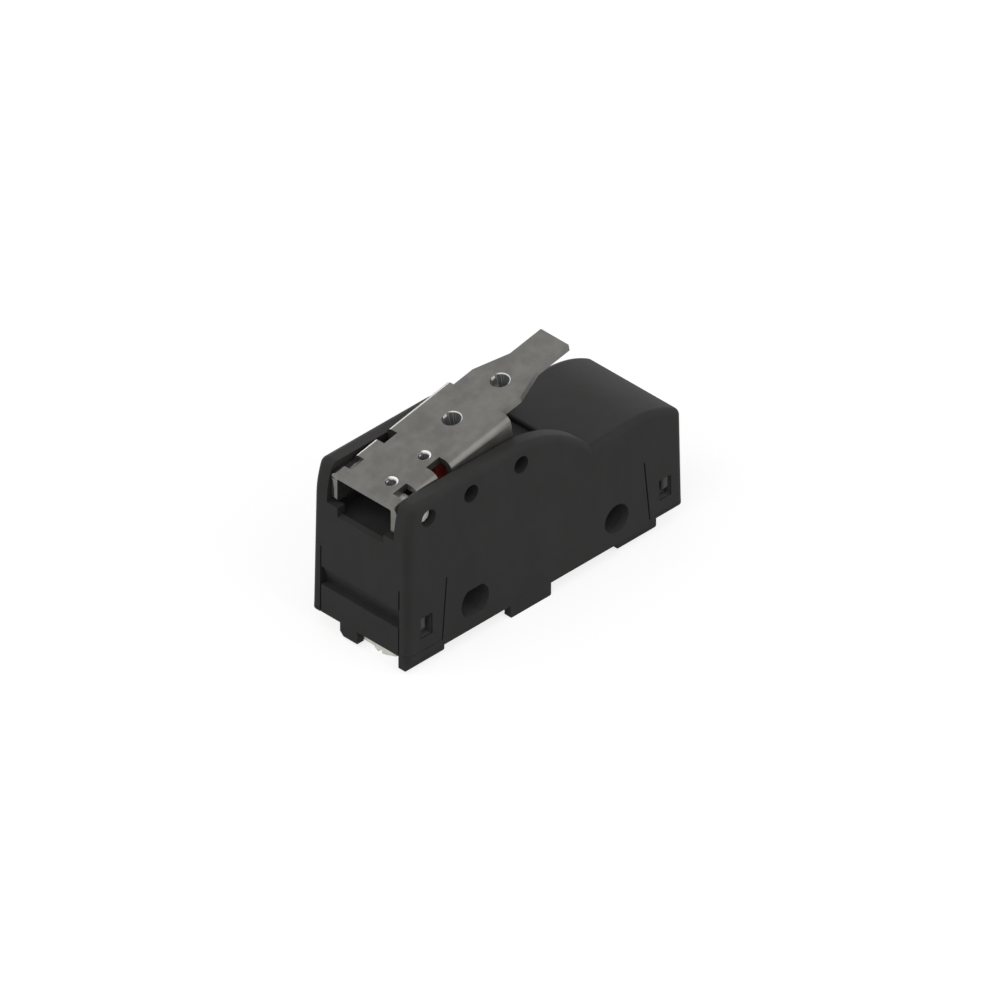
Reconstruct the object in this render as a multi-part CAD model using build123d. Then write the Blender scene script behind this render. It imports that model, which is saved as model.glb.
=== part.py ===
from build123d import *
import math
import os

# Basic snap-action micro switch with a hinged lever, a two-part moulded housing
# and four screw terminals (a double-break pair on each side of the plunger).
# Units are millimetres. The part stands on its two feet at Z = 0, centred on the Z axis.
# The lever turns on its pin at the -X end, and +Z is up.
# "From the end" below means measured along X from the pivot end of the housing.
# "Above the rim" means measured along Z from the lower edge of the cover's side walls.

# Housing outline
BODY_LENGTH = 49.7
BODY_WIDTH = 17.45
SIDE_DRAFT = 0.8
FOOT_DROP = 1.9

# Cover, heights above the rim
GUARD_HEIGHT = 23.4
GUARD_LEAN_START = 18.0
GUARD_LEAN = 1.1
GUARD_FLAT_END = 19.35
GUARD_FOOT_END = 33.4
GUARD_FOOT_HEIGHT = 17.2
REAR_START = 31.0
REAR_START_HEIGHT = 17.0
REAR_CREST = 41.0
REAR_CREST_HEIGHT = 17.25
REAR_END_HEIGHT = 14.75
REAR_LIP_RADIUS = 0.4
TOP_CORNER_RADIUS = 1.15
TOP_EDGE_RADIUS = 1.0
COVER_WALL = 1.25
CHANNEL_WIDTH = 12.0
CHANNEL_FLOOR = 16.3
CHANNEL_FLOOR_THICKNESS = 1.2
SILL_HEIGHT = 1.6
SILL_DEPTH = 1.6
SILL_NOTCH_WIDTH = 8.2
SILL_LEDGE_HEIGHT = 0.2
SILL_LEDGE_RISE = 0.3
SILL_LEDGE_DEPTH = 1.0
CAVITY_SLOPE_START = 40.5
CAVITY_END_HEIGHT = 12.8
PANEL_BOTTOM = 7.6

# Corner snap tabs of the cover
TAB_BOTTOM = 1.0
TAB_TOP = 10.1
TAB_WIDTH_TOP = 7.0
TAB_WIDTH_BOTTOM = 6.1
TAB_END_WIDTH = 1.6
TAB_END_TOP = 10.65
SLIT = 0.22
WINDOW_START = 2.33
WINDOW_END = 4.48
WINDOW_BOTTOM = 2.9
WINDOW_TOP = 6.0
NOSE_LENGTH = 1.15
NOSE_HEIGHT = 2.0
NOSE_PROUD = 0.95
NOSE_RADIUS = 0.4
NOSE_MARGIN = 0.1
NOSE_ROOT = 0.2

# Middle feet and legs
FOOT_START = 18.4
FOOT_LENGTH = 7.3
FOOT_THICKNESS = 1.1
LEG_DROP = 1.32
LEG_LENGTH = 7.14
LEG_INSET = 0.6
LEG_THICKNESS = 1.1
FAR_LEG_START = 4.46
FOOT_CORNER = 0.25

# Mounting holes, and the side holes for the lever's pin. At this length the holes are 25.4 apart.
HOLE_FROM_END = 12.15
HOLE_HEIGHT = 3.92
ROUND_HOLE_DIAMETER = 4.3
FLAT_HOLE_DIAMETER = 4.95
FLAT_HOLE_FLATS = 4.2
PIN_HOLE_DIAMETER = 2.5
PIN_HOLE_HEIGHT = 20.7
PIVOT_FROM_END = 4.07
SPARE_HOLES_FROM_END = (11.66, 20.6)
PIN_RECESS = 1.0
PIN_CLEARANCE = 0.05
PIN_CHAMFER = 0.2

# Base
FIT = 0.05
BOSS_LENGTH = 7.3
BOSS_TOP = 7.0
FLOOR_BOTTOM = 0.3
FLOOR_TOP = 1.5
BAY_ROOF = 1.05
END_WALL = 1.25
END_WALL_BOTTOM = 0.56
RECESS_BOTTOM = 4.86
RECESS_DEPTH = 1.35
RECESS_TOP_SETBACK = 0.35
BACKING = 0.6
NEAR_BAY_SHARE = 0.595
PARTITION_WALL = 1.1
PARTITION_NOSE_WIDTH = 3.1
PARTITION_NOSE_OFFSET = 0.25
PARTITION_NOSE_DEPTH = 1.25
PARTITION_CHAMFER = 0.6
SPIGOT_DIAMETER = 2.4
SPIGOT_HEIGHT = 1.6
POST_MARGIN = 0.1

# Terminals, their screws and clamp plates
STRIP = 0.8
STRIP_WIDTH = 3.6
STRIP_TIP_RADIUS = 1.2
BEND_RADIUS = 0.9
ROW_MARGIN = 0.7
NEAR_SCREW_FROM_END = 3.4
FAR_SCREW_FROM_END = 5.2
SCREW_DIAMETER = 3.0
SCREW_TIP = 3.2
SCREW_HEAD_HEIGHT = 1.0
SCREW_HEAD_RADIUS = 0.3
SCREW_HEAD_CLEARANCE = 0.15
SCREW_TIP_CHAMFER = 0.4
SCREW_SLOT_WIDTH = 0.8
SCREW_SLOT_DEPTH = 0.65
SCREW_CLEARANCE = 0.05
SCREW_POCKET_CLEARANCE = 0.4
CLAMP_THICKNESS = 0.8
CLAMP_LENGTH = 5.4
CLAMP_CLEARANCE = 0.12
NEAR_CLAMP_MARGIN = 1.225
CLAMP_CORNER = 0.6

# Contacts
CONTACT_FROM_BOSS = 2.5
CONTACT_DIAMETER = 2.6
CONTACT_HEIGHT = 0.7
CONTACT_SHANK_DIAMETER = 1.4
CONTACT_SHANK_CLEARANCE = 0.05
CONTACT_CROWN = 0.15
CONTACT_GAP = 0.02
BRIDGE_TRAVEL = 1.3
BRIDGE_THICKNESS = 0.6
BRIDGE_BAR_LENGTH = 2.6
BRIDGE_BAR_MARGIN = 0.2
BRIDGE_WEB_WIDTH = 5.4
BRIDGE_CORNER = 0.6
STEM_CLEARANCE = 0.5

# Plunger, its spring seat and springs
PLUNGER_FROM_PIVOT = 9.0
PLUNGER_LENGTH = 3.0
PLUNGER_WIDTH = 5.6
PLUNGER_CROWN_RADIUS = 5.0
PLUNGER_CORNER = 0.8
PLUNGER_GUIDE_CLEARANCE = 0.1
PLUNGER_TOP_CLEARANCE = 0.03
ARM_WIDTH = 5.0
ARM_THICKNESS = 2.0
ARM_OVERHANG = 1.5
ARM_TAIL = 2.4
ARM_CORNER = 0.8
STEM_DIAMETER = 3.0
STEM_TIP_DIAMETER = 2.0
SEAT_DIAMETER = 5.2
SEAT_THICKNESS = 0.8
SEAT_HEIGHT = 5.5
SPRING_DIAMETER = 4.0
SPRING_WIRE = 0.4
SPRING_TURNS = 5
SPRING_END_GAP = 0.02
SNAP_WIDTH = 2.0
SNAP_THICKNESS = 0.25
SNAP_REACH = 3.2
SNAP_BELLY = 1.76
SNAP_DEPTH = 3.4
SNAP_TOE_DEPTH = 2.2
SNAP_STEM_GAP = 0.4

# Lever, one bent sheet, sizes along the sheet from its front edge
LEVER_SHEET = 1.0
LEVER_SLOPE = 10.7
LEVER_FRONT_FROM_END = 0.7
LEVER_TOP_AT_FRONT = 22.7
LEVER_WIDTH = 11.6
LEVER_BEND_RADIUS = 1.2
FLANGE_HEIGHT = 4.15
FLANGE_LENGTH = 20.86
LUG_RADIUS = 2.4
LUG_CORNER = 0.3
BLADE_WIDTH = 8.56
BLADE_SHOULDER = 24.32
TONGUE_WIDTH = 4.98
TONGUE_START = 29.31
LEVER_LENGTH = 34.96
NOTCH_STARTS = (1.66, 7.68)
NOTCH_DEPTHS = (1.1, 2.4)
NOTCH_LENGTH = 2.41
NOTCH_BRIDGE_WIDTH = 7.5
SMALL_HOLE_DIAMETER = 1.9
SMALL_HOLES = (3.12, 9.08)
SMALL_HOLE_OFFSET = 1.94
LARGE_HOLE_DIAMETER = 2.7
LARGE_HOLES = (16.15, 24.93)
COLLAR_WALL = 0.3
SMALL_COLLAR_DEPTH = 0.35
LARGE_COLLAR_DEPTH = 1.0

# How close an edge lies to a place where it is picked out, how far a cutter runs past what it opens,
# and how far a foot or wall is let into the body that it grows from
EDGE_TOLERANCE = 0.01
OVERCUT = 1.0
ROOT = 0.5

# Values that follow from the sizes above
RIM = FOOT_DROP
CAVITY_HALF = BODY_WIDTH / 2 - COVER_WALL
BASE_HALF = CAVITY_HALF - FIT
CEILING = RIM + CHANNEL_FLOOR - CHANNEL_FLOOR_THICKNESS
BASE_TOP = RIM + BOSS_TOP
ROOF = RIM + BAY_ROOF
BEND_RELIEF = BEND_RADIUS - STRIP / 2 + FIT
PIT_FLOOR = RIM + FLOOR_TOP
HOLE_X = BODY_LENGTH / 2 - HOLE_FROM_END
HOLE_Z = RIM + HOLE_HEIGHT
PIVOT_X = PIVOT_FROM_END - BODY_LENGTH / 2
PIVOT_Z = RIM + PIN_HOLE_HEIGHT
PLUNGER_X = PIVOT_X + PLUNGER_FROM_PIVOT
BOSS_OUTER = HOLE_X + BOSS_LENGTH / 2
BOSS_INNER = HOLE_X - BOSS_LENGTH / 2
CONTACT_FROM_CENTRE = BOSS_INNER - CONTACT_FROM_BOSS
ROW_OFFSET = BASE_HALF - ROW_MARGIN - STRIP_WIDTH / 2
BAY_HALF = BODY_WIDTH / 2 - LEG_INSET - LEG_THICKNESS
BAY_SPACE = 2 * BAY_HALF - PARTITION_WALL
NEAR_BAY = BAY_SPACE * NEAR_BAY_SHARE
FAR_BAY = BAY_SPACE - NEAR_BAY
PARTITION_Y = NEAR_BAY - BAY_HALF
SCREW_HEAD_DIAMETER = FAR_BAY - 2 * SCREW_HEAD_CLEARANCE
# Screw places at the pivot end, each as X, Y and the width of its pad. The far end is turned by half a turn.
NEAR_SCREW_X = NEAR_SCREW_FROM_END - BODY_LENGTH / 2
FAR_SCREW_X = FAR_SCREW_FROM_END - BODY_LENGTH / 2
NEAR_PAD_START = NEAR_CLAMP_MARGIN - BAY_HALF
NEAR_PAD_END = PARTITION_Y - PARTITION_NOSE_OFFSET - CLAMP_CLEARANCE
NEAR_TERMINAL = (NEAR_SCREW_X, (NEAR_PAD_START + NEAR_PAD_END) / 2, NEAR_PAD_END - NEAR_PAD_START)
FAR_TERMINAL = (FAR_SCREW_X, BAY_HALF - FAR_BAY / 2, FAR_BAY - 2 * CLAMP_CLEARANCE)
LOW_CONTACT_TOP = BASE_TOP + STRIP + CONTACT_HEIGHT
BRIDGE_BOTTOM = LOW_CONTACT_TOP + CONTACT_GAP + BRIDGE_TRAVEL + CONTACT_HEIGHT
BRIDGE_TOP = BRIDGE_BOTTOM + BRIDGE_THICKNESS
HIGH_CONTACT_BOTTOM = BRIDGE_TOP + CONTACT_HEIGHT + CONTACT_GAP
HIGH_STRIP_BOTTOM = HIGH_CONTACT_BOTTOM + CONTACT_HEIGHT
PLUNGER_ARM_TOP = CEILING - PLUNGER_GUIDE_CLEARANCE
PLUNGER_ARM_BOTTOM = PLUNGER_ARM_TOP - ARM_THICKNESS
SEAT_BOTTOM = RIM + SEAT_HEIGHT


def from_end(distance):
    """X of a point at this distance from the pivot end."""
    return distance - BODY_LENGTH / 2


def block(x0, x1, y0, y1, z0, z1):
    """Block between two corners."""
    middle = ((x0 + x1) / 2, (y0 + y1) / 2, (z0 + z1) / 2)
    return Pos(*middle) * Box(abs(x1 - x0), abs(y1 - y0), abs(z1 - z0))


def side_sheet(outline, width, y=0.0):
    """Solid of an XZ outline, carried across the given width about y."""
    return Pos(0, y, 0) * extrude(outline, width / 2, both=True)


def side_face(points):
    """Face in the XZ plane from (x, z) points."""
    return make_face(Polyline(*[(x, 0, z) for x, z in points], close=True))


def across(diameter, x, z, length=4 * BODY_WIDTH):
    """Cylinder along Y through the point (x, z)."""
    return Pos(x, 0, z) * Rot(90, 0, 0) * Cylinder(diameter / 2, length)


def half_turn(solid):
    """Copy turned by 180 degrees about the Z axis."""
    return Rot(0, 0, 180) * solid


def drafted_block():
    """Block that narrows upwards by the draft on every side."""
    outline = Pos(0, 0, RIM) * Rectangle(BODY_LENGTH, BODY_WIDTH)
    return extrude(outline, GUARD_HEIGHT + OVERCUT, taper=SIDE_DRAFT)


def drafted_x(height):
    """X of the pivot end's face at this height above the rim."""
    return from_end(height * math.tan(math.radians(SIDE_DRAFT)))


def guard_outline():
    """Side outline of the guard walls: leaning front, flat top, round fall to the rear."""
    top = RIM + GUARD_HEIGHT
    lean_start = (drafted_x(GUARD_LEAN_START), 0, RIM + GUARD_LEAN_START)
    lean_end = (lean_start[0] + GUARD_LEAN, 0, top)
    fall_start = (from_end(GUARD_FLAT_END), 0, top)
    fall_end = (from_end(GUARD_FOOT_END), 0, RIM + GUARD_FOOT_HEIGHT)
    lean = TangentArc(lean_start, lean_end, tangent=(0, 0, 1))
    flat = Line(lean_end, fall_start)
    fall = TangentArc(fall_start, fall_end, tangent=(1, 0, 0))
    rest = Polyline(fall_end, (fall_end[0], 0, RIM), (from_end(0), 0, RIM), lean_start)
    face = make_face([lean, flat, fall, rest])
    corner = face.vertices().sort_by_distance(lean_end)[0]
    return fillet(corner, TOP_CORNER_RADIUS)


def rear_outline():
    """Side outline of the rear body: a low rise from the channel, then a round fall to the far end."""
    start = (from_end(REAR_START), 0, RIM + REAR_START_HEIGHT)
    crest = (from_end(REAR_CREST), 0, RIM + REAR_CREST_HEIGHT)
    end = (-drafted_x(REAR_END_HEIGHT), 0, RIM + REAR_END_HEIGHT)
    rise = Line(start, crest)
    fall = TangentArc(crest, end, tangent=rise % 1)
    rest = Polyline(end, (BODY_LENGTH / 2, 0, RIM), (start[0], 0, RIM), start)
    face = make_face([rise, fall, rest])
    corner = face.vertices().sort_by_distance(end)[0]
    return fillet(corner, TOP_CORNER_RADIUS)


def rounded_body(outline, inner_end):
    """Solid of a side outline within the draft, its outer edges rounded up to the inner end."""
    body = side_sheet(outline, 2 * BODY_WIDTH) & drafted_block()
    side = [edge for edge in body.edges() if abs(edge.center().Y) > BODY_WIDTH / 2 - TOP_EDGE_RADIUS]
    upper = [edge for edge in side if edge.center().Z > RIM + TOP_EDGE_RADIUS]
    outer = [edge for edge in upper if abs(edge.center().X - inner_end) > EDGE_TOLERANCE]
    return fillet(outer, TOP_EDGE_RADIUS)


def end_cuts():
    """What is cut from the cover at the pivot end: panel edge, tab slits and latch windows."""
    before = from_end(-OVERCUT)
    inside = from_end(COVER_WALL + OVERCUT)
    below = RIM - OVERCUT
    slit_y = BODY_WIDTH / 2 - TAB_END_WIDTH
    cut = block(before, inside, -slit_y, slit_y, below, RIM + PANEL_BOTTOM)
    slit_outline = side_face([
        (before, below),
        (from_end(TAB_WIDTH_BOTTOM + SLIT), below),
        (from_end(TAB_WIDTH_BOTTOM + SLIT), RIM + TAB_BOTTOM),
        (from_end(TAB_WIDTH_TOP + SLIT), RIM + TAB_TOP),
        (from_end(TAB_WIDTH_TOP), RIM + TAB_TOP),
        (from_end(TAB_WIDTH_BOTTOM), RIM + TAB_BOTTOM),
        (before, RIM + TAB_BOTTOM),
    ])
    cut += side_sheet(slit_outline, 2 * BODY_WIDTH)
    cut += block(from_end(WINDOW_START), from_end(WINDOW_END), -BODY_WIDTH, BODY_WIDTH,
                 RIM + WINDOW_BOTTOM, RIM + WINDOW_TOP)
    for y in (-slit_y, slit_y - SLIT):
        cut += block(before, inside, y, y + SLIT, below, RIM + TAB_END_TOP)
    return cut


def mounting_holes():
    """Cutters for the two mounting holes: double-D at the pivot end, round at the other."""
    flat = across(FLAT_HOLE_DIAMETER, -HOLE_X, HOLE_Z)
    flat &= block(-HOLE_X - FLAT_HOLE_DIAMETER, -HOLE_X + FLAT_HOLE_DIAMETER, -BODY_WIDTH, BODY_WIDTH,
                  HOLE_Z - FLAT_HOLE_FLATS / 2, HOLE_Z + FLAT_HOLE_FLATS / 2)
    return flat + across(ROUND_HOLE_DIAMETER, HOLE_X, HOLE_Z)


def make_cover():
    """Moulded cover: guard walls, lever channel, rear body, snap tabs and feet."""
    body = rounded_body(guard_outline(), from_end(GUARD_FOOT_END))
    half = CHANNEL_WIDTH / 2
    floor = RIM + CHANNEL_FLOOR
    top = RIM + GUARD_HEIGHT + OVERCUT
    body -= block(from_end(-OVERCUT), from_end(GUARD_FOOT_END + OVERCUT), -half, half, floor, top)
    rear = rounded_body(rear_outline(), from_end(REAR_START))
    lip = [edge for edge in rear.edges().filter_by(Axis.Y)
           if abs(edge.center().X - from_end(REAR_START)) < EDGE_TOLERANCE and edge.center().Z > floor]
    body += fillet(lip, REAR_LIP_RADIUS)
    sill_x = drafted_x(CHANNEL_FLOOR)
    body += block(sill_x, from_end(SILL_DEPTH), -half, half, floor, floor + SILL_HEIGHT)
    ledge = side_face([
        (sill_x - OVERCUT, floor + SILL_LEDGE_HEIGHT),
        (sill_x, floor + SILL_LEDGE_HEIGHT),
        (from_end(SILL_LEDGE_DEPTH), floor + SILL_LEDGE_HEIGHT + SILL_LEDGE_RISE),
        (from_end(SILL_LEDGE_DEPTH), floor),
        (from_end(SILL_DEPTH + OVERCUT), floor),
        (from_end(SILL_DEPTH + OVERCUT), top),
        (sill_x - OVERCUT, top),
    ])
    body -= side_sheet(ledge, SILL_NOTCH_WIDTH)
    cavity = side_face([
        (from_end(COVER_WALL), RIM - OVERCUT),
        (from_end(COVER_WALL), CEILING),
        (from_end(CAVITY_SLOPE_START), CEILING),
        (from_end(BODY_LENGTH - COVER_WALL), RIM + CAVITY_END_HEIGHT),
        (from_end(BODY_LENGTH - COVER_WALL), RIM - OVERCUT),
    ])
    body -= side_sheet(cavity, 2 * CAVITY_HALF)
    cuts = end_cuts()
    body -= cuts
    body -= half_turn(cuts)
    body -= mounting_holes()
    for x in (PIVOT_FROM_END,) + SPARE_HOLES_FROM_END:
        body -= across(PIN_HOLE_DIAMETER, from_end(x), PIVOT_Z)
    slot_x = PLUNGER_LENGTH / 2 + PLUNGER_GUIDE_CLEARANCE
    slot_y = PLUNGER_WIDTH / 2 + PLUNGER_GUIDE_CLEARANCE
    body -= block(PLUNGER_X - slot_x, PLUNGER_X + slot_x, -slot_y, slot_y, CEILING - OVERCUT, floor + OVERCUT)
    foot = block(from_end(FOOT_START), from_end(FOOT_START + FOOT_LENGTH), -BODY_WIDTH / 2,
                 -BODY_WIDTH / 2 + FOOT_THICKNESS, 0, RIM + ROOT)
    foot = fillet(foot.edges().filter_by(Axis.Y).sort_by(Axis.Z)[:2], FOOT_CORNER)
    return body + foot + half_turn(foot)


def latch_nose(side):
    """Rounded latch nose on one side of the base, which the cover's tab window drops over."""
    start = from_end(WINDOW_START) + NOSE_MARGIN
    top = RIM + WINDOW_TOP - NOSE_MARGIN
    inner = side * (BASE_HALF - NOSE_ROOT)
    outer = side * (BASE_HALF + NOSE_PROUD)
    nose = block(start, start + NOSE_LENGTH, inner, outer, top - NOSE_HEIGHT, top)
    edges = [edge for edge in nose.edges() if abs(edge.center().Y - outer) < EDGE_TOLERANCE]
    return fillet(edges, NOSE_RADIUS)


def leg(side, start):
    """Leg wall at one side of a screw bay, set in below the rim, and its inner shroud wall."""
    inner = BAY_HALF
    outer = BAY_HALF + LEG_THICKNESS
    end = start + LEG_LENGTH
    foot = block(from_end(start), from_end(end), side * inner, side * outer, RIM - LEG_DROP, RIM)
    low = foot.edges().filter_by(Axis.Y).sort_by(Axis.Z)[:2]
    foot = fillet(low, FOOT_CORNER)
    wall_start = max(start, END_WALL + FIT)
    wall_end = min(end, BODY_LENGTH / 2 - BOSS_OUTER + ROOT)
    wall = block(from_end(wall_start), from_end(wall_end), side * inner, side * BASE_HALF, RIM - ROOT, ROOF)
    return foot + wall


def rim_corner(side, bottom):
    """Rim that shows flush below one corner tab, from this height above the rim."""
    top = RIM + TAB_BOTTOM - FIT
    end = from_end(TAB_WIDTH_BOTTOM + SLIT - FIT)
    rim = block(from_end(0), end, side * BAY_HALF, side * BODY_WIDTH / 2, RIM + bottom, top)
    corner = rim.edges().filter_by(Axis.Z).sort_by_distance((from_end(0), side * BODY_WIDTH / 2, RIM))[0]
    return fillet(corner, TOP_EDGE_RADIUS)


def end_wall():
    """End wall of the base below the cover's panel, with the recess across it."""
    half = BODY_WIDTH / 2 - TAB_END_WIDTH - SLIT
    face_x = drafted_x(RECESS_BOTTOM)
    top = RIM + PANEL_BOTTOM - FIT
    outline = side_face([
        (face_x, RIM + END_WALL_BOTTOM),
        (face_x, RIM + RECESS_BOTTOM),
        (from_end(RECESS_DEPTH), RIM + RECESS_BOTTOM),
        (from_end(RECESS_TOP_SETBACK), top),
        (from_end(END_WALL + BACKING), top),
        (from_end(END_WALL + BACKING), ROOF),
        (from_end(END_WALL), ROOF),
        (from_end(END_WALL), RIM + END_WALL_BOTTOM),
    ])
    return side_sheet(outline, 2 * half)


def partition():
    """Wall between the two screw bays, with its thick nose at the end face."""
    start = PARTITION_Y - PARTITION_NOSE_OFFSET
    end = start + PARTITION_NOSE_WIDTH
    nose = block(drafted_x(RECESS_BOTTOM), from_end(PARTITION_NOSE_DEPTH), start, end, RIM - LEG_DROP, ROOF)
    corner = nose.edges().filter_by(Axis.X).sort_by(Axis.Z)[:2].sort_by(Axis.Y)[-1]
    nose = chamfer(corner, PARTITION_CHAMFER)
    across_y = (PARTITION_Y, PARTITION_Y + PARTITION_WALL)
    return nose + block(from_end(END_WALL), -BOSS_OUTER, *across_y, RIM - LEG_DROP, ROOF)


def bay_cuts():
    """What is cut from the base's roof at the pivot end: screw pockets and riser slots."""
    pocket = SCREW_DIAMETER / 2 + SCREW_POCKET_CLEARANCE
    cuts = []
    for x, y, _ in (NEAR_TERMINAL, FAR_TERMINAL):
        cuts.append(Pos(x, y, ROOF + SCREW_TIP / 2) * Cylinder(pocket, SCREW_TIP))
    half = STRIP_WIDTH / 2 + FIT
    slot = -BOSS_OUTER - STRIP - 2 * FIT
    for row in (-ROW_OFFSET, ROW_OFFSET):
        start = row - half
        end = row + half
        cuts.append(block(slot, -BOSS_OUTER, start, end, ROOF - OVERCUT, BASE_TOP + OVERCUT))
        cuts.append(block(slot - BEND_RELIEF, slot, start, end, ROOF - OVERCUT, ROOF + BEND_RELIEF))
        bend = (-BOSS_OUTER, BEND_RELIEF - BOSS_OUTER)
        cuts.append(block(*bend, start, end, BASE_TOP - BEND_RELIEF, BASE_TOP + OVERCUT))
    return cuts


def base_end():
    """The base's structure at the pivot end; the far end is the same, turned by half a turn."""
    body = block(from_end(END_WALL + FIT), -BOSS_OUTER, -BASE_HALF, BASE_HALF, ROOF, BASE_TOP)
    body += block(-BOSS_OUTER, -BOSS_INNER, -BASE_HALF, BASE_HALF, RIM + FLOOR_BOTTOM, BASE_TOP)
    body += end_wall()
    body += partition()
    body += leg(-1, 0)
    body += leg(1, FAR_LEG_START)
    for side, rim_bottom in ((-1, 0), (1, END_WALL_BOTTOM)):
        body += rim_corner(side, rim_bottom)
        body += latch_nose(side)
        low = RIM + rim_bottom
        body += block(from_end(END_WALL + FIT), -BOSS_OUTER, side * BAY_HALF, side * BASE_HALF, low, ROOF)
    for cut in bay_cuts():
        body -= cut
    return body


def high_post(end):
    """Post on the boss that carries an upper strip; end is -1 at the pivot end and 1 at the other."""
    half = STRIP_WIDTH / 2 - POST_MARGIN
    return block(end * (BOSS_OUTER - BEND_RELIEF), end * BOSS_INNER, ROW_OFFSET - half, ROW_OFFSET + half,
                 BASE_TOP, HIGH_STRIP_BOTTOM)


def make_base():
    """Moulded base: bosses, screw bays, legs, latch noses, chamber floor and spring spigot."""
    end = base_end()
    body = end + half_turn(end)
    body += block(-BOSS_INNER, BOSS_INNER, -BASE_HALF, BASE_HALF, RIM + FLOOR_BOTTOM, PIT_FLOOR)
    body += Pos(0, 0, PIT_FLOOR + SPIGOT_HEIGHT / 2) * Cylinder(SPIGOT_DIAMETER / 2, SPIGOT_HEIGHT)
    body += high_post(-1) + high_post(1)
    return body - mounting_holes()


def make_terminal(place, row, strip_bottom):
    """Bent strip of one terminal at the pivot end: screw pad, riser and contact arm."""
    x, y, width = place
    pad_middle = ROOF - STRIP / 2
    riser_x = -BOSS_OUTER - FIT - STRIP / 2
    arm_middle = strip_bottom + STRIP / 2
    tip_x = -CONTACT_FROM_CENTRE + CONTACT_DIAMETER / 2
    path = FilletPolyline(
        (riser_x - 2 * BEND_RADIUS, row, pad_middle),
        (riser_x, row, pad_middle),
        (riser_x, row, arm_middle),
        (tip_x, row, arm_middle),
        radius=BEND_RADIUS,
    )
    section = Plane(origin=path @ 0, x_dir=(0, 1, 0), z_dir=path % 0) * Rectangle(STRIP_WIDTH, STRIP)
    strip = sweep(section, path=path)
    tip = strip.edges().filter_by(Axis.Z).sort_by(Axis.X)[-2:]
    strip = fillet(tip, STRIP_TIP_RADIUS)
    pad_x = (from_end(END_WALL + 2 * FIT), riser_x - BEND_RADIUS)
    pad = block(*pad_x, y - width / 2, y + width / 2, ROOF - STRIP, ROOF)
    pad = fillet(pad.edges().filter_by(Axis.Z), CLAMP_CORNER)
    strip += pad
    strip -= Pos(x, y, pad_middle) * Cylinder(SCREW_DIAMETER / 2 + SCREW_CLEARANCE, 2 * STRIP)
    hole = CONTACT_SHANK_DIAMETER / 2 + CONTACT_SHANK_CLEARANCE
    return strip - Pos(-CONTACT_FROM_CENTRE, row, arm_middle) * Cylinder(hole, 2 * STRIP)


def make_screw(place):
    """Slotted cheese-head terminal screw, its head facing down."""
    seat = ROOF - STRIP - CLAMP_THICKNESS
    head = Pos(0, 0, seat - SCREW_HEAD_HEIGHT / 2) * Cylinder(SCREW_HEAD_DIAMETER / 2, SCREW_HEAD_HEIGHT)
    head = fillet(head.edges().filter_by(GeomType.CIRCLE).sort_by(Axis.Z)[0], SCREW_HEAD_RADIUS)
    slot_z = seat - SCREW_HEAD_HEIGHT + SCREW_SLOT_DEPTH
    half = SCREW_SLOT_WIDTH / 2
    head -= block(-SCREW_HEAD_DIAMETER, SCREW_HEAD_DIAMETER, -half, half, 0, slot_z)
    tip = ROOF + SCREW_TIP - SCREW_POCKET_CLEARANCE
    shank = Pos(0, 0, (seat + tip) / 2) * Cylinder(SCREW_DIAMETER / 2, tip - seat)
    shank = chamfer(shank.edges().filter_by(GeomType.CIRCLE).sort_by(Axis.Z)[-1], SCREW_TIP_CHAMFER)
    return Pos(place[0], place[1], 0) * (head + shank)


def make_clamp_plate(place):
    """Captive clamp plate under a screw head, as wide as the terminal's pad."""
    x, y, width = place
    top = ROOF - STRIP
    plate = extrude(Pos(0, 0, top) * RectangleRounded(CLAMP_LENGTH, width, CLAMP_CORNER), -CLAMP_THICKNESS)
    hole = Pos(0, 0, top) * Cylinder(SCREW_DIAMETER / 2 + SCREW_CLEARANCE, 3 * CLAMP_THICKNESS)
    return Pos(x, y, 0) * (plate - hole)


def make_contact(x, y, face, carrier, carrier_thickness):
    """Contact rivet: a crowned head between its face and its carrier, and a shank through the carrier."""
    up = 1 if face > carrier else -1
    head = Cylinder(CONTACT_DIAMETER / 2, CONTACT_HEIGHT)
    head = chamfer(head.edges().filter_by(GeomType.CIRCLE).sort_by(Axis.Z)[-1], CONTACT_CROWN)
    head = Pos(0, 0, CONTACT_HEIGHT / 2) * head
    shank = Pos(0, 0, -carrier_thickness / 2) * Cylinder(CONTACT_SHANK_DIAMETER / 2, carrier_thickness)
    rivet = head + shank
    if up < 0:
        rivet = Rot(180, 0, 0) * rivet
    return Pos(x, y, carrier) * rivet


def make_bridge():
    """Contact bridge: two cross bars joined by a web, with a window for the plunger's stem."""
    outline = Rectangle(2 * CONTACT_FROM_CENTRE, BRIDGE_WEB_WIDTH)
    bar_width = 2 * ROW_OFFSET + CONTACT_DIAMETER + 2 * BRIDGE_BAR_MARGIN
    for x in (-CONTACT_FROM_CENTRE, CONTACT_FROM_CENTRE):
        outline += Pos(x, 0) * RectangleRounded(BRIDGE_BAR_LENGTH, bar_width, BRIDGE_CORNER)
    outline -= Circle(STEM_DIAMETER / 2 + STEM_CLEARANCE)
    hole = CONTACT_SHANK_DIAMETER / 2 + CONTACT_SHANK_CLEARANCE
    for x in (-CONTACT_FROM_CENTRE, CONTACT_FROM_CENTRE):
        for y in (-ROW_OFFSET, ROW_OFFSET):
            outline -= Pos(x, y) * Circle(hole)
    return extrude(Pos(0, 0, BRIDGE_BOTTOM) * outline, BRIDGE_THICKNESS)


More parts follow.
